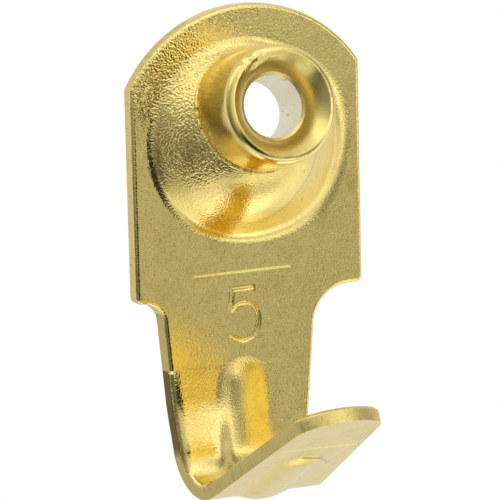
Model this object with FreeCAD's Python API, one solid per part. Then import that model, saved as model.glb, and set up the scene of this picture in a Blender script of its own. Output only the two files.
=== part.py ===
import FreeCAD, Part
import math
import os

# Picture hook: one strip of brass-plated steel, blanked, drawn into a nail boss and folded up at the foot.
# X runs across the plate, +Y points into the wall and Z points up. The back of the plate is Y = 0,
# the middle of the plate is X = 0, and the two shoulders under the plate are at Z = 0. Millimetres.

Vector = FreeCAD.Vector

# Plate
sheet = 0.68                # thickness of the sheet
plate_width = 11.0
plate_height = 12.75        # from the shoulders to the top of the arch
arch_radius = 6.46
arch_offset = 0.2           # the arch is cut a little to the right of the plate's middle
shoulder_round = 0.32       # outer corners under the plate
hollow_left = 0.95          # hollow corners from the plate to the shank
hollow_right = 1.75
edge_roll = 0.2             # soft front edge that the cutting die leaves

# Shank, fold and lip
shank_offset = -0.54        # the shank stands a little to the left of the plate's middle
fold_depth = 6.6            # from the shoulders down to the start of the fold
fold_inside = 1.3           # inside radius of the fold
fold_angle = 119.8          # how far the strip turns, in degrees
lip_length = 9.37           # straight part of the lip, to the middle of its tip
fold_set_in = 2.56          # from the plate's side in to the strip's side, at the middle of the fold
side_taper = 0.174          # how fast each side closes in, measured square to the fold's middle plane
tip_curve = 1.43            # radius of the tip's curve, over half the tip's width
tip_corner = 0.68           # radius of the tip's two corners, over half the tip's width

# Stiffening bead across the fold
bead_width = 3.2
bead_depth = 0.22           # of the groove inside
bead_rise = 0.28            # of the ridge outside
bead_head = 2.4             # from the shoulders down to the head of the groove
bead_foot = 5.5             # from the fold to the far end, along the lip

# Drawn dome
dome_offset = -0.3          # the dome and its collar stand a little to the left of the plate's middle
dome_side = 1.1             # flat left beside the round part, on the nearer side
dome_top = 1.82             # flat left above it, up to the top of the arch
dome_height = 2.6
dome_wall = 0.6
dome_slope = 52.0           # degrees, of the skirt that runs straight from the ball to the foot
dome_foot = 0.7             # hollow round at the foot, in front
dome_mouth = 0.5            # round at the mouth, behind

# Nail collar, raised from the upper part of the dome and tilted upward
nail_tilt = 13.0            # degrees upward from straight out of the wall
nail_lift = 1.07            # the nail's axis leaves the plate's front this far above the dome's middle
bore_radius = 1.36
bore_length = 2.28
bore_inset = 0.75           # from the dome's crown inward to the rear end of the bore
bore_rim = 0.13             # narrow bevel at the front of the bore
sink_depth = 1.05           # funnel in front of the bore
sink_radius = 2.24
neck_foot_radius = 2.72
neck_rim_radius = 2.58
rim_round = 0.36

# Sizes that follow
half_plate = plate_width/2
fold_half_width = half_plate - fold_set_in
dome_radius = half_plate - abs(dome_offset) - dome_side
dome_centre = plate_height - dome_top - dome_radius
turn = math.radians(fold_angle)
fold_outside = fold_inside + sheet
fold_y = -fold_outside
fold_z = -fold_depth
lip_run = Vector(0, -math.sin(turn), -math.cos(turn))
lip_out = Vector(0, math.cos(turn), -math.sin(turn))
fold_run = (Vector(0, 0, -1) + lip_run).normalize()
fold_bisector = Vector(1, 0, 0).cross(fold_run)
fold_axis = Vector(shank_offset, fold_y, fold_z)
lip_start = fold_axis + lip_out*fold_outside
across = Vector(1, 0, 0)
tip_half_width = fold_half_width - side_taper*(lip_start + lip_run*lip_length - fold_axis).dot(fold_run)
tip_arc = tip_curve*tip_half_width

sphere_radius = (dome_radius**2 + dome_height**2)/(2*dome_height)
sphere_centre = Vector(dome_offset, sphere_radius - dome_height - sheet, dome_centre)
slope = math.radians(dome_slope)
tilt = math.radians(nail_tilt)
nail_axis = Vector(0, -math.cos(tilt), math.sin(tilt))
nail_start = Vector(dome_offset, -sheet, dome_centre + nail_lift)
from_ball = nail_start - sphere_centre
climb = from_ball.dot(nail_axis)
crown = math.sqrt(climb**2 - from_ball.dot(from_ball) + sphere_radius**2) - climb
bore_rear = crown - dome_wall - bore_inset
bore_front = bore_rear + bore_length
rim_top = bore_front + sink_depth


def polygon(points):
    return Part.Face(Part.makePolygon(points + [points[0]]))


def is_circle(edge):
    return not edge.Degenerated and edge.Curve.TypeId == "Part::GeomCircle"


def plate_blank():
    # The flat plate with its straight sides and arched top.
    centre_z = plate_height - arch_radius
    left_z = centre_z + math.sqrt(arch_radius**2 - (half_plate + arch_offset)**2)
    right_z = centre_z + math.sqrt(arch_radius**2 - (half_plate - arch_offset)**2)
    a = Vector(-half_plate, 0, 0)
    b = Vector(-half_plate, 0, left_z)
    top = Vector(arch_offset, 0, plate_height)
    c = Vector(half_plate, 0, right_z)
    d = Vector(half_plate, 0, 0)
    arch = Part.Arc(b, top, c).toShape()
    edges = [Part.makeLine(a, b), arch, Part.makeLine(c, d), Part.makeLine(d, a)]
    return Part.Face(Part.Wire(edges)).extrude(Vector(0, -sheet, 0))


def strip_side_view():
    # Shank, fold and lip seen from the side, as one closed outline.
    def on_fold(radius, angle):
        return Vector(0, fold_y + radius*math.cos(angle), fold_z - radius*math.sin(angle))

    top = plate_height*0.1
    back_top = Vector(0, 0, top)
    front_top = Vector(0, -sheet, top)
    out_a = on_fold(fold_outside, 0)
    out_m = on_fold(fold_outside, turn/2)
    out_b = on_fold(fold_outside, turn)
    in_a = on_fold(fold_inside, 0)
    in_m = on_fold(fold_inside, turn/2)
    in_b = on_fold(fold_inside, turn)
    out_tip = out_b + lip_run*lip_length
    in_tip = in_b + lip_run*lip_length
    edges = [Part.makeLine(back_top, out_a)]
    edges.append(Part.Arc(out_a, out_m, out_b).toShape())
    edges.append(Part.makeLine(out_b, out_tip))
    edges.append(Part.makeLine(out_tip, in_tip))
    edges.append(Part.makeLine(in_tip, in_b))
    edges.append(Part.Arc(in_b, in_m, in_a).toShape())
    edges.append(Part.makeLine(in_a, front_top))
    edges.append(Part.makeLine(front_top, back_top))
    return Part.Face(Part.Wire(edges))


def strip_taper():
    # One flat cut down each side narrows the shank, the fold and the lip together.
    reach = fold_depth + lip_length
    wide = fold_half_width + side_taper*reach
    narrow = fold_half_width - side_taper*reach
    near = fold_axis - fold_run*reach - fold_bisector*2*reach
    far = fold_axis + fold_run*reach - fold_bisector*2*reach
    corners = [near - across*wide, near + across*wide, far + across*narrow, far - across*narrow]
    return polygon(corners).extrude(fold_bisector*4*reach)


def tip_waste():
    # What the die takes off beyond the curved end of the lip.
    side = (tip_arc + tip_half_width)/2
    drop = tip_arc - math.sqrt(tip_arc**2 - side**2)
    below = lip_out*sheet
    crown = lip_start + lip_run*lip_length + below
    left = crown - lip_run*drop - across*side
    right = crown - lip_run*drop + across*side
    edges = [Part.Arc(left, crown, right).toShape()]
    edges.append(Part.makeLine(right, right + across*side))
    edges.append(Part.makeLine(right + across*side, right + across*side + lip_run*2*tip_arc))
    edges.append(Part.makeLine(right + across*side + lip_run*2*tip_arc, left - across*side + lip_run*2*tip_arc))
    edges.append(Part.makeLine(left - across*side + lip_run*2*tip_arc, left - across*side))
    edges.append(Part.makeLine(left - across*side, left))
    return Part.Face(Part.Wire(edges)).extrude(lip_out*(-3*sheet))


def bent_strip():
    side = strip_side_view()
    side.translate(Vector(-plate_width, 0, 0))
    strip = side.extrude(Vector(2*plate_width, 0, 0))
    strip = strip.common(strip_taper()).cut(tip_waste())
    corners = []
    for edge in strip.Edges:
        ends = [(v.Point - lip_start) for v in edge.Vertexes]
        through = abs(abs((ends[0] - ends[-1]).dot(lip_out)) - sheet) < 1e-5
        if through and ends[0].dot(lip_run) > lip_length/2:
            corners.append(edge)
    return strip.makeFillet(tip_corner*tip_half_width, corners)


def shoulder_edges(body, near_x, slack):
    # Short edges through the sheet on the shoulder line, close to one place across the plate.
    found = []
    for edge in body.Edges:
        level = max(abs(v.Z) for v in edge.Vertexes) < 1e-6
        through = abs(edge.BoundBox.YLength - sheet) < 1e-6
        if level and through and abs(edge.CenterOfMass.x - near_x) < slack:
            found.append(edge)
    return found


def round_shoulders(body):
    half_shank = fold_half_width - side_taper*(Vector(0, 0, 0) - fold_axis).dot(fold_run)
    body = body.makeFillet(hollow_left, shoulder_edges(body, shank_offset - half_shank, sheet))
    body = body.makeFillet(hollow_right, shoulder_edges(body, shank_offset + half_shank, sheet))
    body = body.makeFillet(shoulder_round, shoulder_edges(body, -half_plate, 1e-6))
    return body.makeFillet(shoulder_round, shoulder_edges(body, half_plate, 1e-6))


def on_front(point):
    # True on the face of the sheet that looks away from the wall and into the hook.
    from_axis = point - fold_axis
    from_axis.x = 0
    along = from_axis.dot(lip_run)
    if point.z >= fold_z - 1e-6 and abs(point.y + sheet) < 1e-5:
        return True
    if along >= -1e-6 and abs(from_axis.dot(lip_out) - fold_inside) < 1e-5:
        return True
    return abs(from_axis.Length - fold_inside) < 1e-5


def roll_front_edges(body):
    rolled = []
    for edge in body.Edges:
        faces = body.ancestorsOfType(edge, Part.Face)
        fronts = [all(on_front(v.Point) for v in f.Vertexes) for f in faces]
        if len(fronts) == 2 and fronts[0] != fronts[1]:
            rolled.append(edge)
    return body.makeFillet(edge_roll, rolled)


def bead_section(depth, base):
    # Half of the bead's smooth cross-section as points: shoulder, flank, middle.
    half = bead_width/2
    lift = depth*0.05
    return half, depth/2 - lift, depth - lift, -lift, base


def bead_face(origin, outward, depth, base):
    # The bead's section across the strip. outward is the way the section swells.
    half, flank, crest, edge, floor = bead_section(depth, base)
    swell = depth/2
    radius = ((half/2)**2 + swell**2)/(2*swell)
    quarter_x = half*0.75
    quarter_h = radius - math.sqrt(radius**2 - (half/4)**2)

    def at(x, h):
        return origin + across*x + outward*h

    edges = [Part.Arc(at(-half, edge), at(-quarter_x, edge + quarter_h), at(-half/2, flank)).toShape()]
    edges.append(Part.Arc(at(-half/2, flank), at(0, crest), at(half/2, flank)).toShape())
    edges.append(Part.Arc(at(half/2, flank), at(quarter_x, edge + quarter_h), at(half, edge)).toShape())
    edges.append(Part.makeLine(at(half, edge), at(half, floor)))
    edges.append(Part.makeLine(at(half, floor), at(-half, floor)))
    edges.append(Part.makeLine(at(-half, floor), at(-half, edge)))
    return Part.Face(Part.Wire(edges))


def bead_end(origin, outward, run, depth, base):
    # The bead dies away in a round end: half of its section turned about its own middle.
    whole = bead_face(origin, outward, depth, base)
    corner = origin + outward*(base - 1) - run*bead_width
    keep = polygon([corner, corner + across*bead_width, corner + across*bead_width + run*2*bead_width,
                    corner + run*2*bead_width]).extrude(outward*(2 + depth - base))
    half = whole.common(keep)
    return half.revolve(origin, outward, 360)


def bead_path(axis, radius, depth, base, straight):
    # Straight run down the shank, round the fold and out along the lip, with a round end at each end.
    back = Vector(0, 1, 0)
    down = Vector(0, 0, -1)
    begin = Vector(shank_offset, axis.y + radius, axis.z)
    finish = axis + lip_out*radius
    section = bead_face(begin, back, depth, base)
    pieces = [section.revolve(axis, across*(-1), fold_angle)]
    if straight > 0:
        head = begin - down*straight
        pieces.append(section.extrude(down*(-straight)))
        pieces.append(bead_end(head, back, down, depth, base))
    length = bead_foot - bead_width/2
    pieces.append(bead_face(finish, lip_out, depth, base).extrude(lip_run*length))
    pieces.append(bead_end(finish + lip_run*length, lip_out, lip_run, depth, base))
    tool = pieces[0]
    for piece in pieces[1:]:
        tool = tool.fuse(piece)
    return tool


def press_bead(body):
    # A groove inside the fold and a ridge outside it. The ridge stays in front of the wall.
    run = fold_depth - bead_head - bead_width/2
    groove = bead_path(fold_axis, fold_inside, bead_depth, -0.3, run)
    sunk = Vector(0, -0.03, -bead_rise)
    ridge = bead_path(fold_axis + sunk, fold_outside - bead_rise, bead_rise, -0.2, 0)
    return body.fuse(ridge).cut(groove)


def place_on_axis(shape):
    turn_axis = FreeCAD.Rotation(Vector(0, 0, 1), nail_axis)
    shape.Placement = FreeCAD.Placement(nail_start, turn_axis)
    return shape


def draw_dome(body):
    # A ball's cap whose lower part runs out in a straight skirt, turned about the dome's own axis.
    depth = sphere_radius - dome_height
    brim_height = sphere_radius*math.cos(slope) - depth
    foot_radius = sphere_radius*math.sin(slope) + brim_height/math.tan(slope)

    def at(radius, height):
        return Vector(dome_offset + radius, -sheet - height, dome_centre)

    def on_ball(angle):
        return at(sphere_radius*math.sin(angle), sphere_radius*math.cos(angle) - depth)

    root = at(foot_radius + sheet/2/math.tan(slope), -sheet/2)
    edges = [Part.Arc(on_ball(0), on_ball(slope/2), on_ball(slope)).toShape()]
    edges.append(Part.makeLine(on_ball(slope), root))
    edges.append(Part.makeLine(root, at(0, -sheet/2)))
    edges.append(Part.makeLine(at(0, -sheet/2), on_ball(0)))
    body = body.fuse(Part.Face(Part.Wire(edges)).revolve(at(0, 0), Vector(0, 1, 0), 360))
    foot = []
    for edge in body.Edges:
        if is_circle(edge) and abs(edge.Curve.Radius - foot_radius) < 1e-5:
            foot.append(edge)
    return body.makeFillet(dome_foot, foot)


def collar():
    # The thick neck, turned about the nail's axis, with a rounded rim.
    foot = crown - sphere_radius + math.sqrt(sphere_radius**2 - neck_foot_radius**2)
    root = (neck_foot_radius*math.sin(tilt) - sheet/2)/math.cos(tilt)
    points = [Vector(0, 0, root), Vector(neck_foot_radius, 0, root), Vector(neck_foot_radius, 0, foot)]
    points += [Vector(neck_rim_radius, 0, rim_top), Vector(0, 0, rim_top)]
    neck = polygon(points).revolve(Vector(0, 0, 0), Vector(0, 0, 1), 360)
    rim = []
    for edge in neck.Edges:
        if is_circle(edge) and abs(edge.CenterOfMass.z - rim_top) < 1e-6:
            rim.append(edge)
    return place_on_axis(neck.makeFillet(rim_round, rim))


def bore_and_sink():
    # The nail's bore, its narrow bevel and the funnel that leads into it.
    bevel = bore_radius + bore_rim
    bevel_top = bore_front + bore_rim*0.7
    mouth = Vector(sink_radius, 0, rim_top)
    waist = Vector((bevel + sink_radius)/2 - 0.07, 0, (bevel_top + rim_top)/2 + 0.05)
    throat = Vector(bevel, 0, bevel_top)
    edges = [Part.makeLine(Vector(0, 0, bore_rear - 1), Vector(bore_radius, 0, bore_rear - 1))]
    edges.append(Part.makeLine(Vector(bore_radius, 0, bore_rear - 1), Vector(bore_radius, 0, bore_front)))
    edges.append(Part.makeLine(Vector(bore_radius, 0, bore_front), throat))
    edges.append(Part.Arc(throat, waist, mouth).toShape())
    edges.append(Part.makeLine(mouth, mouth + Vector(0, 0, 1)))
    edges.append(Part.makeLine(mouth + Vector(0, 0, 1), Vector(0, 0, rim_top + 1)))
    edges.append(Part.makeLine(Vector(0, 0, rim_top + 1), Vector(0, 0, bore_rear - 1)))
    cutter = Part.Face(Part.Wire(edges)).revolve(Vector(0, 0, 0), Vector(0, 0, 1), 360)
    return place_on_axis(cutter)


def dome_hollow():
    # The space behind the dome: a ball inside the wall with a rounded mouth, stopped flat at the bore's rear end.
    inner = sphere_radius - dome_wall
    depth = sphere_centre.y
    swell = inner + dome_mouth
    mouth_radius = math.sqrt(swell**2 - (depth + dome_mouth)**2)

    def at(radius, y):
        return Vector(dome_offset + radius, y, dome_centre)

    def on_ball(angle):
        return at(inner*math.sin(angle), depth - inner*math.cos(angle))

    def on_mouth(angle):
        return at(mouth_radius - dome_mouth*math.sin(angle), dome_mouth*math.cos(angle) - dome_mouth)

    meet = math.atan2(mouth_radius, depth + dome_mouth)
    edges = [Part.Arc(on_ball(0), on_ball(meet/2), on_ball(meet)).toShape()]
    edges.append(Part.Arc(on_mouth(meet), on_mouth(meet/2), on_mouth(0)).toShape())
    edges.append(Part.makeLine(on_mouth(0), at(mouth_radius, sheet)))
    edges.append(Part.makeLine(at(mouth_radius, sheet), at(0, sheet)))
    edges.append(Part.makeLine(at(0, sheet), on_ball(0)))
    cutter = Part.Face(Part.Wire(edges)).revolve(at(0, 0), Vector(0, 1, 0), 360)
    size = 4*sphere_radius
    beyond = Part.makeBox(size, size, size, Vector(-size/2, -size/2, bore_rear))
    return cutter.cut(place_on_axis(beyond))


def picture_hook():
    body = plate_blank().fuse(bent_strip()).removeSplitter()
    body = round_shoulders(body)
    body = roll_front_edges(body)
    body = press_bead(body)
    body = draw_dome(body)
    body = body.fuse(collar())
    return body.cut(dome_hollow()).cut(bore_and_sink())


os.makedirs("parts", exist_ok=True)
hook = picture_hook()
if hook.ShapeType == "Compound" and len(hook.Solids) == 1:
    hook = hook.Solids[0]
print("solids", len(hook.Solids), "valid", hook.isValid(), "volume mm3", round(hook.Volume, 2))
print("box", [round(v, 3) for v in (hook.BoundBox.XMin, hook.BoundBox.YMin, hook.BoundBox.ZMin)],
      [round(v, 3) for v in (hook.BoundBox.XMax, hook.BoundBox.YMax, hook.BoundBox.ZMax)])
hook.exportStep("parts/picture_hook.step")
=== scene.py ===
import math
import bmesh
import bpy
from mathutils import Matrix, Vector, noise


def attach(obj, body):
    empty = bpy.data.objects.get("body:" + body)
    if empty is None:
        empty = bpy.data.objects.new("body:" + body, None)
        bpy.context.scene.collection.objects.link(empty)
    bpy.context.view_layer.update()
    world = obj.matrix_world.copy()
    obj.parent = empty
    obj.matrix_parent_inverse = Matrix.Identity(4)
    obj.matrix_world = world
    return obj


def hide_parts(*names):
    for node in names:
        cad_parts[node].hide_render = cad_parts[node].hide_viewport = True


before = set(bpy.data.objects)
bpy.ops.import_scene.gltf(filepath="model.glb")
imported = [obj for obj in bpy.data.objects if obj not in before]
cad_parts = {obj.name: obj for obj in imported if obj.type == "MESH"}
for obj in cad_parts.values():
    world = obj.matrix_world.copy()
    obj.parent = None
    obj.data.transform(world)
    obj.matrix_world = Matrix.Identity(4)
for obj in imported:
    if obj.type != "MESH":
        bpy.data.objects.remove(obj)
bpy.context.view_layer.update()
print("frame loaded, nodes:", sorted(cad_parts))

mm = 0.001
hookScene = bpy.context.scene


def linkPiece(name, data):
    piece = bpy.data.objects.new(name, data)
    hookScene.collection.objects.link(piece)
    return piece


def meshFrom(bm, name):
    mesh = bpy.data.meshes.new(name)
    bm.to_mesh(mesh)
    bm.free()
    return mesh


def bakedMesh(piece, name):
    graph = bpy.context.evaluated_depsgraph_get()
    mesh = bpy.data.meshes.new_from_object(piece.evaluated_get(graph))
    mesh.name = name
    return mesh


# 0 up to low, 1 from high on, and a soft step between
def smoothShare(value, low, high):
    share = max(0.0, min(1.0, (value - low) / (high - low)))
    return share * share * (3 - 2 * share)


# the pressed hook, in mm and degrees
hookSheet = {
    "front": -0.68,           # front face of the plate
    "weld": 0.0005,           # distance for merging doubles
    "flatAngle": 0.05,        # faces that turn less than this become one
    "sharpAngle": 28,
    "normalWeight": 50,
    "fanSides": 24,           # a point with more faces round it is the middle of a fan
    "nailStart": (-0.3, -0.68, 7.9),
    "nailTilt": 13.0,
    "boreRadius": 1.36,
    "boreSpan": (0.9, 3.31),  # along the nail axis from its start
    "ballCentre": (-0.3, 1.2527, 6.83),   # the dome is the cap of this ball
    "ballRadius": 4.5327,
    "lipRun": (0, -0.868, 0.497),         # the way the lip points
    "nickAt": (-1.45, -4.35, 10.80),
    "nickReach": 0.62,
    "nickDepth": 0.13,
    "nickCuts": 4,
    "nickSpread": (2.0, 2.2),             # in reaches: faces cut finer, points moved
    "nickFall": 1.6,
    "nickWobble": (0.6, 0.8, 3.1),        # least, spread and fineness
}


def nailAxis(sheet):
    tilt = math.radians(sheet["nailTilt"])
    return Vector((0, -math.cos(tilt), math.sin(tilt)))


# marks struck into the sheet, in mm
struckMarks = {
    "figureCentre": (-0.43, -0.86),
    "figureBar": ((0.62, 1.13), (-0.52, 1.13)),
    "figureStem": ((-0.49, 1.13), (-0.60, 0.22)),
    "figureBowl": ((-0.62, 0.18), (-0.24, 0.52), (0.45, 0.46), (0.76, -0.04), (0.72, -0.68), (0.34, -1.16),
                   (-0.26, -1.20), (-0.66, -0.88)),
    "figureRadius": 0.15,
    "figureDepth": 0.10,
    "dieLine": ((-2.77, 1.02), (1.95, 1.06)),
    "dieRadius": 0.07,
    "dieDepth": 0.022,
    "lipLine": ((-2.35, -8.12, -5.365), (1.45, -7.935, -5.471)),
    "lipOut": (0, -0.497, -0.868),        # straight out of the lip's outer face
    "lipRadius": 0.10,
    "lipDepth": 0.03,
    "wireRounding": 5,
    "wireSteps": 8,
    "wireWeld": 0.001,
}


# round wire laid along a path, used as the punch that leaves a groove
def punchWire(name, path, radius, spec):
    data = bpy.data.curves.new(name, "CURVE")
    data.dimensions = "3D"
    data.bevel_depth = radius * mm
    data.bevel_resolution = spec["wireRounding"]
    data.resolution_u = spec["wireSteps"]
    data.use_fill_caps = True
    curved = len(path) > 2
    spline = data.splines.new("NURBS" if curved else "POLY")
    spline.points.add(len(path) - 1)
    for point, place in zip(spline.points, path):
        point.co = (place[0] * mm, place[1] * mm, place[2] * mm, 1)
    if curved:
        spline.order_u = 3
        spline.use_endpoint_u = True
    wire = linkPiece(name, data)
    mesh = bakedMesh(wire, name)
    bpy.data.objects.remove(wire)
    bm = bmesh.new()
    bm.from_mesh(mesh)
    bmesh.ops.remove_doubles(bm, verts=bm.verts, dist=spec["wireWeld"] * mm)
    bmesh.ops.recalc_face_normals(bm, faces=bm.faces)
    bm.to_mesh(mesh)
    bm.free()
    return linkPiece(name, mesh)


def makePunches(spec, sheet):
    stand = sheet["front"] - spec["figureRadius"] + spec["figureDepth"]
    cx, cz = spec["figureCentre"]
    punches = []
    for stroke in ("figureBar", "figureStem", "figureBowl"):
        path = [(cx + x, stand, cz + z) for x, z in spec[stroke]]
        punches.append(punchWire(stroke, path, spec["figureRadius"], spec))
    stand = sheet["front"] - spec["dieRadius"] + spec["dieDepth"]
    line = [(x, stand, z) for x, z in spec["dieLine"]]
    punches.append(punchWire("diePunch", line, spec["dieRadius"], spec))
    lift = Vector(spec["lipOut"]) * (spec["lipRadius"] - spec["lipDepth"])
    line = [Vector(place) + lift for place in spec["lipLine"]]
    punches.append(punchWire("lipPunch", line, spec["lipRadius"], spec))
    return punches


# a knock on the collar's rim
def nickRim(bm, sheet):
    at = Vector(sheet["nickAt"]) * mm
    reach = sheet["nickReach"] * mm
    cutReach, moveReach = sheet["nickSpread"]
    faces = [f for f in bm.faces if (f.calc_center_median() - at).length < reach * cutReach]
    near = dict.fromkeys(e for f in faces for e in f.edges)
    bmesh.ops.subdivide_edges(bm, edges=list(near), cuts=sheet["nickCuts"], use_grid_fill=True)
    bm.normal_update()
    least, spread, fine = sheet["nickWobble"]
    moves = []
    for vert in bm.verts:
        away = (vert.co - at).length / reach
        if away < moveReach:
            wobble = least + spread * noise.noise(vert.co / mm * fine)
            depth = sheet["nickDepth"] * mm * math.exp(-away * away * sheet["nickFall"]) * wobble
            moves.append((vert, vert.normal * -depth))
    for vert, move in moves:
        vert.co += move


# the strip below the shoulders: its left margin is rolled over, and it leaves the wall a little before the fold
stripForm = {
    "foldAxis": (-1.98, -6.6),            # y and z
    "foldEnd": 119,                       # degrees round the fold
    "innerReach": 1.62,                   # the inner face is nearer to the fold's axis than this
    "lipStart": -4.2,                     # nothing moves in front of this
    "side": (-3.48, -1.98, -6.6),         # a point of the strip's left side
    "sideIn": (1.0, 0.1505, 0.0872),      # square to that side, into the strip
    "marginLines": (0.08, 0.16, 0.26, 0.38, 0.52),
    "marginDrop": 0.19,
    "marginStep": (-3.05, -3.22),         # where the roll begins
    "marginFade": (5, 60),                # degrees round the fold
    "rows": (-3.0, -3.05, -3.22, -4.4, -4.55, -4.7, -4.85, -5.0, -5.15, -5.3, -5.6, -5.9, -6.2, -6.45),
    "rowSlack": 0.001,
    "cutWeld": 0.00001,
    "easeStart": -4.4,
    "easeSpan": 0.9,                      # length over which the lean grows
    "easeSlope": 0.15,
    "easeSide": (-2.1, 0.6),              # the lean is on the left
    "easeFade": (15, 118),
}


# rows cut every face that reaches below the step, margin lines only faces wholly below it
def cutStrip(bm, spec, side, inward):
    step = (spec["marginStep"][0] + spec["rowSlack"]) * mm
    cuts = [((0, 0, z), (0, 0, 1), min) for z in spec["rows"]]
    cuts += [(side + inward * reach, inward, max) for reach in spec["marginLines"]]
    for place, way, end in cuts:
        faces = [f for f in bm.faces if end(v.co.z for v in f.verts) < step]
        edges = dict.fromkeys(e for f in faces for e in f.edges)
        verts = dict.fromkeys(v for f in faces for v in f.verts)
        bmesh.ops.bisect_plane(bm, geom=faces + list(edges) + list(verts), dist=spec["cutWeld"] * mm,
                               plane_co=Vector(place) * mm, plane_no=way)


def formStrip(bm, spec):
    inward = Vector(spec["sideIn"]).normalized()
    side = Vector(spec["side"])
    cutStrip(bm, spec, side, inward)
    axisY, axisZ = spec["foldAxis"]
    stepTop, stepFoot = spec["marginStep"]
    for vert in bm.verts:
        x, y, z = vert.co / mm
        if z > stepTop or y < spec["lipStart"]:
            continue
        turn = math.degrees(math.atan2(axisZ - z, y - axisY)) if z < axisZ else 0.0
        fromAxis = Vector((0, y - axisY, min(z - axisZ, 0.0)))
        move = Vector((0, 0, 0))
        if fromAxis.length < spec["innerReach"] and turn < spec["foldEnd"]:
            fromSide = max(0.0, (Vector((x, y, z)) - side).dot(inward))
            roll = max(0.0, 1 - fromSide / spec["marginLines"][-1]) ** 2 * spec["marginDrop"]
            roll *= smoothShare(-z, -stepTop, -stepFoot) * (1 - smoothShare(turn, *spec["marginFade"]))
            move += fromAxis.normalized() * roll
        # the lean grows over its span and then runs on straight
        down = max(0.0, spec["easeStart"] - max(z, axisZ)) / spec["easeSpan"]
        lean = (down * down / 2 if down < 1 else down - 0.5) * spec["easeSpan"] * spec["easeSlope"]
        move.y -= lean * (1 - smoothShare(turn, *spec["easeFade"])) * (1 - smoothShare(x, *spec["easeSide"]))
        vert.co += move * mm


# how the finishes are told apart, in mm and by the way a face looks
finishZones = {
    "boreSlack": 0.02,        # past the bore's radius
    "boreFacing": 0.5,        # the bore's wall looks across the nail axis
    "plateFoot": -0.4,        # above this is the plate
    "edgeFacing": 0.25,       # its cut edge hardly looks forward
    "domeSlack": 0.1,         # past the ball's radius
    "collarStart": 0.5,       # along the nail axis
    "tipStart": -9,           # in front of this is the lip's end
    "tipFacing": 0.6,         # the tip looks along the lip
    "sideFacing": 0.85,       # the strip's sides look sideways
}


# 0 plated face, 1 bore, 2 cut edge of the plate and the tip, 3 cut side of the strip
def finishOf(face, sheet, zones):
    place = face.calc_center_median() / mm
    along = nailAxis(sheet)
    away = place - Vector(sheet["nailStart"])
    reach = away.dot(along)
    low, high = sheet["boreSpan"]
    inBore = low < reach < high and (away - along * reach).length < sheet["boreRadius"] + zones["boreSlack"]
    if inBore and abs(face.normal.dot(along)) < zones["boreFacing"]:
        return 1
    if place.z > zones["plateFoot"]:
        fromBall = (place - Vector(sheet["ballCentre"])).length
        drawn = fromBall < sheet["ballRadius"] + zones["domeSlack"] or reach > zones["collarStart"]
        return 2 if abs(face.normal.y) < zones["edgeFacing"] and not drawn else 0
    if place.y < zones["tipStart"] and face.normal.dot(Vector(sheet["lipRun"])) > zones["tipFacing"]:
        return 2
    return 3 if abs(face.normal.x) > zones["sideFacing"] else 0


# the punches cut the merged copy, and are taken away
def strikeMarks(piece, punches):
    for punch in punches:
        strike = piece.modifiers.new(punch.name, "BOOLEAN")
        strike.operation = "DIFFERENCE"
        strike.solver = "EXACT"
        strike.object = punch
    struck = bakedMesh(piece, "struckHook")
    piece.modifiers.clear()
    for punch in punches:
        bpy.data.objects.remove(punch)
    return struck


def makeHook(sheet, marks, form, zones):
    bm = bmesh.new()
    bm.from_mesh(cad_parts["picture_hook"].data)
    bmesh.ops.remove_doubles(bm, verts=bm.verts, dist=sheet["weld"] * mm)
    mesh = meshFrom(bm, "pressedHook")
    piece = linkPiece("pressedHook", mesh)
    bm = bmesh.new()
    bm.from_mesh(strikeMarks(piece, makePunches(marks, sheet)))
    bmesh.ops.remove_doubles(bm, verts=bm.verts, dist=sheet["weld"] * mm)
    nickRim(bm, sheet)
    bmesh.ops.dissolve_limit(bm, angle_limit=math.radians(sheet["flatAngle"]), verts=bm.verts, edges=bm.edges)
    formStrip(bm, form)
    # the bead's head closes in a fan, which is made one face
    fans = [v for v in bm.verts if len(v.link_faces) > sheet["fanSides"] and v.co.z < 0]
    bmesh.ops.dissolve_verts(bm, verts=fans)
    bm.normal_update()
    limit = math.radians(sheet["sharpAngle"])
    for edge in bm.edges:
        edge.smooth = len(edge.link_faces) == 2 and edge.calc_face_angle(0) < limit
    for face in bm.faces:
        face.smooth = True
        face.material_index = finishOf(face, sheet, zones)
    bm.to_mesh(mesh)
    bm.free()
    tidyNormals = piece.modifiers.new("tidyNormals", "WEIGHTED_NORMAL")
    tidyNormals.keep_sharp = True
    tidyNormals.weight = sheet["normalWeight"]
    print("hook made,", len(mesh.polygons), "faces")
    return piece


# thin ragged flash squeezed out round the neck's foot
neckFlash = {
    "radius": 2.73,
    "wire": 0.075,
    "sides": 8,
    "weld": 0.001,
    "start": 138,             # degrees round the nail axis
    "sweep": 140,
    "steps": 90,
    "taper": 6,               # it tapers over a sixth of the sweep at each end
    "tipSize": 0.25,
    "ragged": (0.9, 0.7),     # thickness, and how much it varies
    "raggedFine": ((2.7, 1.0), (7.0, 0.6)),   # fineness and share of each unevenness
    "thinnest": 0.15,
    "wander": 0.07,
    "wanderFine": 3.3,
    "wanderFrom": (5, 0, 0),
}


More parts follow.
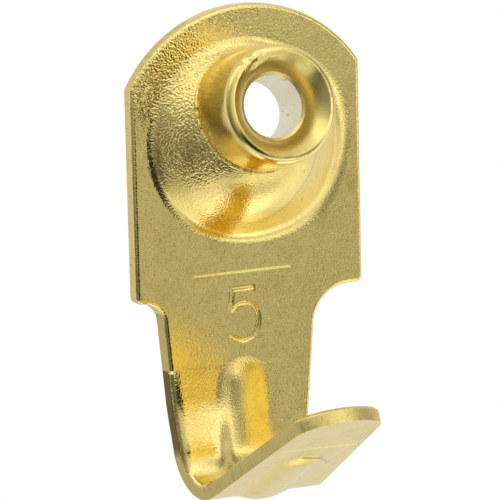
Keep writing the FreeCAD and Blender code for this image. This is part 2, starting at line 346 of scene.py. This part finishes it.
def makeFlash(spec, sheet):
    along = nailAxis(sheet)
    middle = Vector(sheet["nailStart"]) * mm
    ball = Vector(sheet["ballCentre"]) * mm
    sweep = math.radians(spec["sweep"])
    out = Matrix.Rotation(math.radians(spec["start"]), 3, along) @ Vector((1, 0, 0))
    bm = bmesh.new()
    ring = bmesh.ops.create_circle(bm, cap_ends=True, segments=spec["sides"], radius=spec["wire"] * mm)["verts"]
    turn = Matrix((out, along, out.cross(along))).transposed()
    bmesh.ops.rotate(bm, verts=ring, cent=(0, 0, 0), matrix=turn)
    bmesh.ops.translate(bm, verts=ring, vec=middle + out * spec["radius"] * mm)
    bmesh.ops.spin(bm, geom=bm.verts[:] + bm.edges[:] + bm.faces[:], cent=middle, axis=along,
                   angle=sweep, steps=spec["steps"], use_duplicate=False)
    bmesh.ops.remove_doubles(bm, verts=bm.verts, dist=spec["weld"] * mm)
    bmesh.ops.recalc_face_normals(bm, faces=bm.faces)
    side = along.cross(out)
    thick, vary = spec["ragged"]
    for vert in bm.verts:
        away = vert.co - middle
        flat = away - along * away.dot(along)
        core = middle + flat.normalized() * spec["radius"] * mm
        # up along the nail axis to the dome's skin
        inside = core - ball
        drop = inside.dot(along)
        lift = math.sqrt(drop * drop - inside.length_squared + (sheet["ballRadius"] * mm) ** 2) - drop
        share = math.atan2(flat.dot(side), flat.dot(out)) / sweep
        fade = max(0.0, min(1.0, min(share, 1 - share) * spec["taper"]))
        rough = sum(part * noise.noise(core / mm * fine) for fine, part in spec["raggedFine"])
        grow = (spec["tipSize"] + (1 - spec["tipSize"]) * fade) * (thick + vary * rough)
        drift = spec["wander"] * mm * noise.noise(core / mm * spec["wanderFine"] + Vector(spec["wanderFrom"]))
        vert.co = core + along * (lift + drift) + (vert.co - core) * max(grow, spec["thinnest"])
    for face in bm.faces:
        face.smooth = True
    mesh = meshFrom(bm, "neckFlash")
    print("flash made,", len(mesh.polygons), "faces")
    return linkPiece("neckFlash", mesh)


# the dome eases out to the right, where its skirt lies flatter and runs softly into the plate
softSkirt = {
    "slope": (52, 40),        # degrees: as pressed, and at its flattest
    "foot": (0.7, 1.65),      # foot rounding, as pressed and at its softest
    "start": (-97, -38),      # degrees round the axis, 0 to the right: where it begins and is full
    "end": (70, 15),
    "steps": 110,
    "rows": 12,
    "sink": 0.06,             # its hidden underside lies this far inside the sheet
    "sinkTurn": 0.9,          # in ball radii, where the underside begins to rise
    "sharpAngle": 40,
}


# radius and rise along the skirt, from the ball down to the plate
def skirtLine(spec, sheet, share):
    steep, flat = spec["slope"]
    crisp, soft = spec["foot"]
    slope = math.radians(steep + (flat - steep) * share)
    bend = crisp + (soft - crisp) * share
    ball = sheet["ballRadius"]
    reach = ball * math.sin(slope)
    rise = ball * math.cos(slope) - (sheet["ballCentre"][1] - sheet["front"])
    corner = reach + rise / math.tan(slope)
    run = bend * math.tan(slope / 2)
    line = [(reach, rise)]
    for row in range(spec["rows"] + 1):
        lean = slope * (1 - row / spec["rows"])
        line.append((corner + run - bend * math.sin(lean), bend - bend * math.cos(lean)))
    sink = spec["sink"]
    line += [(line[-1][0] - sink, -sink), (ball * spec["sinkTurn"], -sink), (reach - sink, rise - 2 * sink)]
    return line


def makeSkirt(spec, sheet):
    cx, _, cz = sheet["ballCentre"]
    (low, fullLow), (high, fullHigh) = spec["start"], spec["end"]
    bm = bmesh.new()
    rings = []
    for step in range(spec["steps"] + 1):
        turn = low + (high - low) * step / spec["steps"]
        share = smoothShare(turn, low, fullLow) * smoothShare(-turn, -high, -fullHigh)
        a = math.radians(turn)
        ring = []
        for reach, rise in skirtLine(spec, sheet, share):
            place = Vector((cx + reach * math.cos(a), sheet["front"] - rise, cz + reach * math.sin(a)))
            ring.append(bm.verts.new(place * mm))
        rings.append(ring)
    count = len(rings[0])
    for first, second in zip(rings, rings[1:]):
        for k in range(count):
            after = (k + 1) % count
            bm.faces.new((first[k], first[after], second[after], second[k]))
    bm.faces.new(rings[0])
    bm.faces.new(rings[-1][::-1])
    bmesh.ops.recalc_face_normals(bm, faces=bm.faces)
    for face in bm.faces:
        face.smooth = True
    limit = math.radians(spec["sharpAngle"])
    for edge in bm.edges:
        edge.smooth = edge.calc_face_angle(0) < limit
    mesh = meshFrom(bm, "softSkirt")
    print("skirt made,", len(mesh.polygons), "faces")
    return linkPiece("softSkirt", mesh)


# finishes
def addNode(tree, kind, values=None, **settings):
    node = tree.nodes.new(kind)
    for key, value in settings.items():
        setattr(node, key, value)
    for key, value in (values or {}).items():
        feed(tree, node.inputs[key], value)
    return node


# a socket takes another socket or a plain value
def feed(tree, socket, value):
    if isinstance(value, bpy.types.NodeSocket):
        tree.links.new(value, socket)
    else:
        socket.default_value = value


def calc(tree, operation, *terms, clamp=False):
    node = addNode(tree, "ShaderNodeMath", dict(enumerate(terms)), operation=operation, use_clamp=clamp)
    return node.outputs[0]


def vectorCalc(tree, operation, *terms):
    return addNode(tree, "ShaderNodeVectorMath", dict(enumerate(terms)), operation=operation).outputs


def ramp(tree, value, low, high, outLow=0.0, outHigh=1.0):
    ends = {"Value": value, "From Min": low, "From Max": high, "To Min": outLow, "To Max": outHigh}
    return addNode(tree, "ShaderNodeMapRange", ends, interpolation_type="SMOOTHSTEP").outputs["Result"]


def mapped(tree, place, **values):
    return addNode(tree, "ShaderNodeMapping", {"Vector": place, **values}).outputs["Vector"]


def placeInMm(tree):
    coords = addNode(tree, "ShaderNodeTexCoord")
    return mapped(tree, coords.outputs["Object"], Scale=(1 / mm, 1 / mm, 1 / mm))


def grain(tree, place, scale, detail, roughness):
    values = {"Vector": place, "Scale": scale, "Detail": detail, "Roughness": roughness}
    return addNode(tree, "ShaderNodeTexNoise", values).outputs[0]


# noise round a half becomes a height round nought
def centred(tree, value, amount):
    return calc(tree, "MULTIPLY", calc(tree, "SUBTRACT", value, 0.5), amount)


def distanceTo(tree, place, point):
    return vectorCalc(tree, "DISTANCE", place, point)["Value"]


def splitPlace(tree, place):
    return addNode(tree, "ShaderNodeSeparateXYZ", {0: place}).outputs


# inputs 6 and 7 and output 2 are the mix node's colours
def blend(tree, share, first, second):
    return addNode(tree, "ShaderNodeMix", {0: share, 6: first, 7: second}, data_type="RGBA").outputs[2]


# stain over the metal where a noise lies high: from, to, share
def stained(tree, value, stain):
    low, high, share = stain
    return ramp(tree, value, low, high, 0.0, share)


def bumped(tree, shader, height):
    bump = addNode(tree, "ShaderNodeBump", {"Strength": 1.0, "Distance": mm, "Height": height})
    tree.links.new(bump.outputs["Normal"], shader.inputs["Normal"])


def metalTree(name):
    material = bpy.data.materials.new(name)
    material.use_nodes = True
    shader = material.node_tree.nodes["Principled BSDF"]
    shader.inputs["Metallic"].default_value = 1
    return material, material.node_tree, shader


# how near a place is to a straight run, 1 on it and 0 past the width
def nearRun(tree, place, start, end, width):
    run = Vector(end) - Vector(start)
    away = vectorCalc(tree, "SUBTRACT", place, start)["Vector"]
    along = vectorCalc(tree, "DOT_PRODUCT", away, run / run.length_squared)["Value"]
    foot = addNode(tree, "ShaderNodeVectorMath", {0: run}, operation="SCALE")
    feed(tree, foot.inputs["Scale"], calc(tree, "ADD", along, 0.0, clamp=True))
    gap = vectorCalc(tree, "DISTANCE", away, foot.outputs["Vector"])["Value"]
    return ramp(tree, gap, 0.0, width, 1.0, 0.0)


# plated brass, with heights and places in mm
brassFinish = {
    "colour": (0.84, 0.675, 0.232, 1),
    # the stain colour is also used for the painted shade along the cracks
    "stain": (0.60, 0.42, 0.12, 1),
    "roughness": 0.14,
    "roughSpread": 0.08,
    "satin": 0.0085,          # height of the fine grain everywhere
    "pebble": 0.040,          # height of the pebbled skin at its coarsest
    "wave": 0.03,
    # fineness, detail and roughness of each noise
    "satinGrain": (14.0, 0.5, 0.5),
    "pebbleGrain": (10.5, 0.0, 0.5),
    "waveGrain": (0.55, 1.0, 0.5),
    "patchGrain": (1.1, 4.0, 0.6),
    "speckGrain": (6.5, 2.0, 0.6),
    # where the drawn skin is pebbled: place, inner and outer reach, share
    "pebbled": (
        ((-3.3, -0.9, 9.8), 1.2, 3.4, 1.0),
        ((-3.4, -1.9, 6.9), 1.0, 2.4, 1.0),
        ((-1.4, -0.7, 11.8), 0.8, 3.6, 0.4),
        ((1.0, -0.7, 12.0), 0.5, 3.0, 0.2),
        ((-3.2, -0.7, -4.5), 0.8, 3.0, 0.25),
        ((-2.4, -1.7, 4.2), 0.5, 2.2, 0.3),
        ((0.4, -7.2, -6.0), 1.5, 3.6, 0.22),
    ),
    "pebblePatch": (0.9, 0.5),            # the pebbles come in patches: spread and least
    "pebbleShine": 0.25,
    "collarAt": (-0.3, -4.1, 8.69),
    "collarReach": (2.9, 3.4),
    "collarSatin": 0.2,                   # share of the fine grain left on the collar
    "funnelAt": (-0.3, -5.0, 8.9),
    "funnelReach": (1.9, 2.35),
    "funnelRough": 0.14,
    # the strip hollows a little towards the fold, on the left of its front: from, to and height
    "hollow": (-6.9, -4.4, 0.22),
    "hollowFront": (-2.6, -1.5),
    "hollowSide": (-2.2, -1.0),
    # pinches left by the draw: from, to, half width, height
    "pinches": (
        ((-3.86, -1.16, 8.3), (-3.97, -1.33, 5.9), 0.11, 0.035),
        ((-4.16, -0.98, 7.6), (-4.14, -1.0, 6.2), 0.08, 0.02),
    ),
    # creases where the bead ends under the lip: from, to, half width of the painted shade along the crack in each
    "creases": (
        ((-0.72, -7.08, -6.03), (0.18, -6.80, -6.20), 0.09),
        ((0.18, -6.80, -6.20), (1.05, -5.71, -6.74), 0.07),
        ((0.37, -4.22, -7.68), (0.10, -3.97, -7.92), 0.09),
        ((0.10, -3.97, -7.92), (0.13, -3.18, -8.36), 0.08),
    ),
    "creaseWidth": 0.12,
    "creaseHeight": -0.05,
    # painted shade along the lip's struck line, like that along the creases' cracks; it fades where the specks are
    # few
    "lipCrackShade": 0.07,                     # half width of the crack in the lip's struck line
    "crackBreaks": (0.38, 0.56, 0.25),    # cracks fade where the specks are few: from, to, least
    "speckStain": (0.60, 0.72, 0.6),
    "patchStain": (0.5, 0.75, 0.35),
}


# pebbled skin, broken up, and none on the collar
def pebbledShare(tree, place, spec, patch, offCollar):
    skin = 0.0
    for at, near, far, share in spec["pebbled"]:
        skin = calc(tree, "MAXIMUM", ramp(tree, distanceTo(tree, place, at), near, far, share, 0.0), skin)
    skin = calc(tree, "MULTIPLY", skin, calc(tree, "MULTIPLY_ADD", patch, *spec["pebblePatch"]))
    return calc(tree, "MULTIPLY", skin, offCollar)


def brassRelief(tree, place, spec, skin, offCollar):
    satin = grain(tree, place, *spec["satinGrain"])
    pebble = grain(tree, place, *spec["pebbleGrain"])
    wave = grain(tree, place, *spec["waveGrain"])
    height = calc(tree, "MULTIPLY", centred(tree, pebble, spec["pebble"]), skin)
    even = calc(tree, "MULTIPLY_ADD", offCollar, 1 - spec["collarSatin"], spec["collarSatin"])
    height = calc(tree, "MULTIPLY_ADD", centred(tree, satin, spec["satin"]), even, height)
    runs = list(spec["pinches"])
    runs += [(start, end, spec["creaseWidth"], spec["creaseHeight"]) for start, end, _ in spec["creases"]]
    for start, end, width, lift in runs:
        height = calc(tree, "MULTIPLY_ADD", nearRun(tree, place, start, end, width), lift, height)
    split = splitPlace(tree, place)
    low, high, lift = spec["hollow"]
    hollow = ramp(tree, split["Z"], low, high, lift, 0.0)
    hollow = calc(tree, "MULTIPLY", hollow, ramp(tree, split["X"], *spec["hollowSide"], 1.0, 0.0))
    height = calc(tree, "MULTIPLY_ADD", hollow, ramp(tree, split["Y"], *spec["hollowFront"]), height)
    return calc(tree, "ADD", height, centred(tree, wave, spec["wave"]))


def brassRoughness(tree, place, spec, skin, patch):
    spread = spec["roughSpread"]
    rough = calc(tree, "MULTIPLY_ADD", patch, spread, spec["roughness"] - spread / 2)
    rough = calc(tree, "MULTIPLY", rough, calc(tree, "MULTIPLY_ADD", skin, -spec["pebbleShine"], 1.0))
    fromFunnel = distanceTo(tree, place, spec["funnelAt"])
    return calc(tree, "ADD", rough, ramp(tree, fromFunnel, *spec["funnelReach"], spec["funnelRough"], 0.0))


# real specks and patches of stain, plus painted shade along the creases' cracks and the lip's struck line
def brassDirtAndCrackShade(tree, place, spec, patch, lipLine):
    specks = grain(tree, place, *spec["speckGrain"])
    darkening = stained(tree, specks, spec["speckStain"])
    darkening = calc(tree, "MAXIMUM", darkening, stained(tree, patch, spec["patchStain"]))
    low, high, least = spec["crackBreaks"]
    broken = ramp(tree, specks, low, high, least, 1.0)
    # painted shade in each crack
    for start, end, width in [*spec["creases"], (*lipLine, spec["lipCrackShade"])]:
        crack = calc(tree, "MULTIPLY", nearRun(tree, place, start, end, width), broken)
        darkening = calc(tree, "MAXIMUM", crack, darkening)
    return darkening


def makeBrass(spec, lipLine):
    material, tree, shader = metalTree("brassFinish")
    place = placeInMm(tree)
    patch = grain(tree, place, *spec["patchGrain"])
    offCollar = ramp(tree, distanceTo(tree, place, spec["collarAt"]), *spec["collarReach"])
    skin = pebbledShare(tree, place, spec, patch, offCollar)
    # base colour darkened by real stains and by painted shade along the cracks
    darkening = brassDirtAndCrackShade(tree, place, spec, patch, lipLine)
    bumped(tree, shader, brassRelief(tree, place, spec, skin, offCollar))
    feed(tree, shader.inputs["Roughness"], brassRoughness(tree, place, spec, skin, patch))
    feed(tree, shader.inputs["Base Color"], blend(tree, darkening, spec["colour"], spec["stain"]))
    return material


# the bore is scuffed along the nail
boreFinish = {
    "colour": (0.86, 0.79, 0.58, 1),
    "stain": (0.45, 0.38, 0.24, 1),
    "roughness": 0.34,
    "scuff": 0.012,
    "pulled": (1.0, 0.35, 1.0),
    "scuffGrain": (5.0, 3.0, 0.6),
    "scuffStain": (0.58, 0.72, 0.8),
}


def makeBore(spec):
    material, tree, shader = metalTree("boreFinish")
    scuffs = grain(tree, mapped(tree, placeInMm(tree), Scale=spec["pulled"]), *spec["scuffGrain"])
    bumped(tree, shader, calc(tree, "MULTIPLY", scuffs, spec["scuff"]))
    feed(tree, shader.inputs["Roughness"], spec["roughness"])
    darkening = stained(tree, scuffs, spec["scuffStain"])
    feed(tree, shader.inputs["Base Color"], blend(tree, darkening, spec["colour"], spec["stain"]))
    return material


# cut edges keep the drag lines of the die, across the sheet
edgeFinish = {
    "colour": (0.74, 0.58, 0.21, 1),
    "stain": (0.42, 0.31, 0.10, 1),
    "roughness": 0.33,
    "roughSpread": 0.2,
    "lean": 0,                # degrees, how the sheet lies
    "drag": 0.012,
    "pulled": (9.0, 0.9, 9.0),
    "dragGrain": (1.0, 3.0, 0.6),
    "tearGrain": (1.6, 3.0, 0.65),
    "dragStain": (0.5, 0.8, 0.8),
}
stripFinish = dict(edgeFinish, colour=(0.58, 0.46, 0.165, 1), stain=(0.32, 0.24, 0.08, 1), lean=-60.2)
# the die tore the lower part of the strip's sides
tornFinish = {"colour": (0.17, 0.125, 0.04, 1), "top": (-3.14, -3.06), "foot": (-7.2, -6.5), "front": (-2.5, -1.7)}


def makeEdge(name, spec, torn=None):
    material, tree, shader = metalTree(name)
    place = placeInMm(tree)
    turned = mapped(tree, place, Rotation=(math.radians(spec["lean"]), 0, 0))
    drag = grain(tree, mapped(tree, turned, Scale=spec["pulled"]), *spec["dragGrain"])
    tear = grain(tree, turned, *spec["tearGrain"])
    height = calc(tree, "ADD", centred(tree, drag, spec["drag"]), centred(tree, tear, spec["drag"]))
    bumped(tree, shader, height)
    spread = spec["roughSpread"]
    rough = calc(tree, "MULTIPLY_ADD", tear, spread, spec["roughness"] - spread / 2)
    feed(tree, shader.inputs["Roughness"], rough)
    colour = blend(tree, stained(tree, drag, spec["dragStain"]), spec["colour"], spec["stain"])
    if torn:
        split = splitPlace(tree, place)
        share = ramp(tree, split["Z"], *torn["top"], 1.0, 0.0)
        share = calc(tree, "MULTIPLY", share, ramp(tree, split["Z"], *torn["foot"]))
        share = calc(tree, "MULTIPLY", share, ramp(tree, split["Y"], *torn["front"]))
        colour = blend(tree, share, colour, torn["colour"])
    feed(tree, shader.inputs["Base Color"], colour)
    return material


# studio
studio = {
    "room": 0.82,             # soft light from all round
    "tent": {                 # patches of the light tent: azimuth, elevation, reach in degrees, how much brighter
        "lensShade": (229, 6, 71, -0.82),
        "topFront": (281, 31, 62, 0.45),
        "lowFront": (280, -62, 50, 1.46),
        "lowShade": (288, -29, 50, -1.43),
        "lowRight": (311, -31, 72, 0.38),
        "topLeft": (243, 27, 71, 0.33),
        "highLeft": (191, 55, 26, 0.61),
        "floorRight": (326, -66, 33, -0.70),
        "rightShade": (322, 8, 45, -0.73),
        "rightFill": (312, -9, 36, 0.92),
        "floorFront": (242, -66, 27, -1.05),
        "backLeft": (156, -31, 48, -0.12),
        "sideWindow": (150, -4, 30, 0.12),
        "highSide": (194, 30, 24, 0.16),
    },
    "patchCore": 0.35,        # share of the reach that is at full strength
    "dimmest": 0.03,
    "backdrop": 2.0,          # radius of the white backdrop, metres
    "backdropSides": (32, 16),
    "floor": -30,             # mm
    "floorReach": 90,         # mm from the middle to each side
    "glow": 1.0,              # of the backdrop and the floor
}


def towards(azimuth, elevation):
    a, e = math.radians(azimuth), math.radians(elevation)
    return Vector((math.cos(a) * math.cos(e), math.sin(a) * math.cos(e), math.sin(e)))


# the tent's brightness depends only on the direction
def makeTent(spec):
    world = bpy.data.worlds.new("lightTent")
    world.use_nodes = True
    tree = world.node_tree
    way = addNode(tree, "ShaderNodeTexCoord").outputs["Generated"]
    total = spec["room"]
    for azimuth, elevation, reach, amount in spec["tent"].values():
        facing = vectorCalc(tree, "DOT_PRODUCT", way, towards(azimuth, elevation))["Value"]
        edge = math.cos(math.radians(reach))
        core = math.cos(math.radians(reach * spec["patchCore"]))
        total = calc(tree, "ADD", ramp(tree, facing, edge, core, 0.0, amount), total)
    light = tree.nodes["Background"].inputs
    feed(tree, light["Strength"], calc(tree, "MAXIMUM", total, spec["dimmest"]))
    feed(tree, light["Color"], (1, 1, 1, 1))
    hookScene.world = world


# a plain white stand that only the camera sees
def makeStand(bm, name, paintName, glow):
    paint = bpy.data.materials.new(paintName)
    paint.use_nodes = True
    shader = paint.node_tree.nodes["Principled BSDF"]
    shader.inputs["Base Color"].default_value = (0, 0, 0, 1)
    shader.inputs["Roughness"].default_value = 1
    shader.inputs["Specular IOR Level"].default_value = 0
    shader.inputs["Emission Color"].default_value = (1, 1, 1, 1)
    shader.inputs["Emission Strength"].default_value = glow
    mesh = meshFrom(bm, name)
    mesh.materials.append(paint)
    stand = linkPiece(name, mesh)
    stand.visible_diffuse = stand.visible_glossy = stand.visible_transmission = stand.visible_shadow = False


def makeStudio(spec):
    makeTent(spec)
    around, upward = spec["backdropSides"]
    bm = bmesh.new()
    bmesh.ops.create_uvsphere(bm, u_segments=around, v_segments=upward, radius=spec["backdrop"])
    bmesh.ops.reverse_faces(bm, faces=bm.faces)
    makeStand(bm, "whiteBackdrop", "whiteBackdrop", spec["glow"])
    bm = bmesh.new()
    bmesh.ops.create_grid(bm, x_segments=1, y_segments=1, size=spec["floorReach"] * mm)
    bmesh.ops.translate(bm, verts=bm.verts, vec=(0, 0, spec["floor"] * mm))
    makeStand(bm, "paleFloor", "palePaper", spec["glow"])
    print("studio set")


# camera, fitted to the photograph
photoView = {
    "turn": 25.0,             # degrees to the left of straight on
    "rise": 10.38,
    "roll": 1.39,
    "distance": 146.2,        # mm from the origin
    "focalPixels": 3317.0,
    "originPixel": (244.62, 290.86),
    "imageSize": 500,
    "sensor": 36,             # mm
    "clip": (0.005, 20),      # metres
}


def makeCamera(spec):
    turn = math.radians(spec["turn"])
    rise = math.radians(spec["rise"])
    roll = math.radians(spec["roll"])
    look = Vector((math.sin(turn) * math.cos(rise), math.cos(turn) * math.cos(rise), -math.sin(rise)))
    right = Vector((math.cos(turn), -math.sin(turn), 0))
    up = right.cross(look)
    imageRight = right * math.cos(roll) - up * math.sin(roll)
    imageUp = right * math.sin(roll) + up * math.cos(roll)
    # the camera looks a little past the origin, which lies off the picture's middle
    middle = (spec["imageSize"] - 1) / 2
    offX = (middle - spec["originPixel"][0]) / spec["focalPixels"]
    offY = (spec["originPixel"][1] - middle) / spec["focalPixels"]
    back = -(look + imageRight * offX + imageUp * offY).normalized()
    side = imageUp.cross(back).normalized()
    turned = Matrix((side, back.cross(side), back)).transposed().to_4x4()
    data = bpy.data.cameras.new("photoCamera")
    data.sensor_width = spec["sensor"]
    data.lens = spec["focalPixels"] / spec["imageSize"] * spec["sensor"]
    data.clip_start, data.clip_end = spec["clip"]
    camera = linkPiece("photoCamera", data)
    camera.matrix_world = Matrix.Translation(look * (-spec["distance"] * mm)) @ turned
    hookScene.camera = camera
    print("camera set, lens", round(data.lens, 1), "mm")


makeCamera(photoView)
brass = makeBrass(brassFinish, struckMarks["lipLine"])
bore = makeBore(boreFinish)
plateEdge = makeEdge("plateEdge", edgeFinish)
stripEdge = makeEdge("stripEdge", stripFinish, tornFinish)
print("finishes made")
hook = makeHook(hookSheet, struckMarks, stripForm, finishZones)
for finish in (brass, bore, plateEdge, stripEdge):    # in finishOf's order
    hook.data.materials.append(finish)
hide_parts("picture_hook")
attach(hook, "root")
flash = makeFlash(neckFlash, hookSheet)
flash.data.materials.append(brass)
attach(flash, "root")
skirt = makeSkirt(softSkirt, hookSheet)
skirt.data.materials.append(brass)
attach(skirt, "root")
makeStudio(studio)
hookScene.view_settings.view_transform = "Standard"
